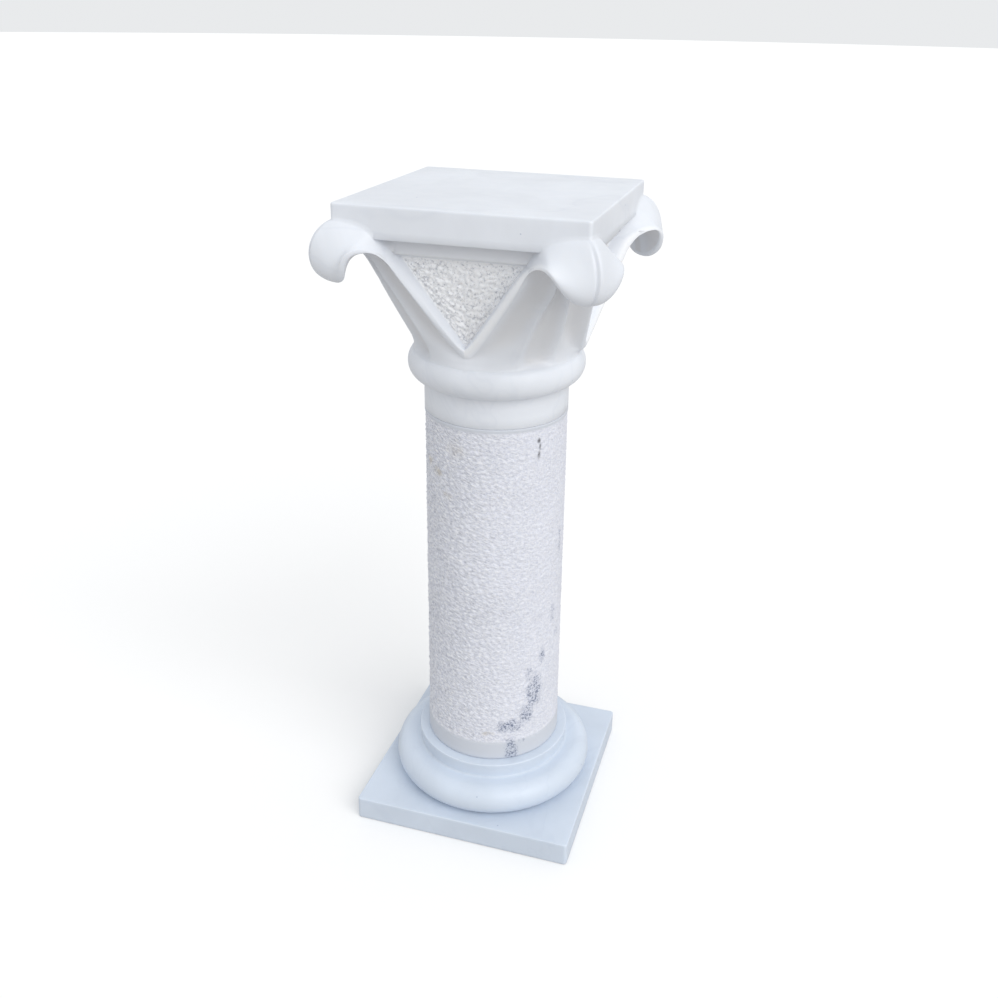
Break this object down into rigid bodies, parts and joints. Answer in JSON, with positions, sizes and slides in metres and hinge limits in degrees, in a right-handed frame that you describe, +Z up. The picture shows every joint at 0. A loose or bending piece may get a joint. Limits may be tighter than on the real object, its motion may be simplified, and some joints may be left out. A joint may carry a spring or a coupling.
{
  "type": "pedestal column",
  "caption": "Short round marble column on a square moulded base, with a square slab on top carried by curled corner leaves.",
  "frame": {"origin": "middle of the square plinth's underside, on the floor", "axes": "+Z up along the column, -Y out of the front face, X along the plinth's front edge"},
  "size_m": [0.4276, 0.4255, 1],
  "materials": {
    "base_marble": "white marble, honed smooth",
    "shaft_marble": "white marble, tooled rough between smooth margins",
    "capital_marble": "white marble, honed smooth, with rough sunk panels"
  },
  "bodies": {
    "root": {"base": "base_marble", "shaft": "shaft_marble", "capital": "capital_marble"}
  },
  "joints": []
}
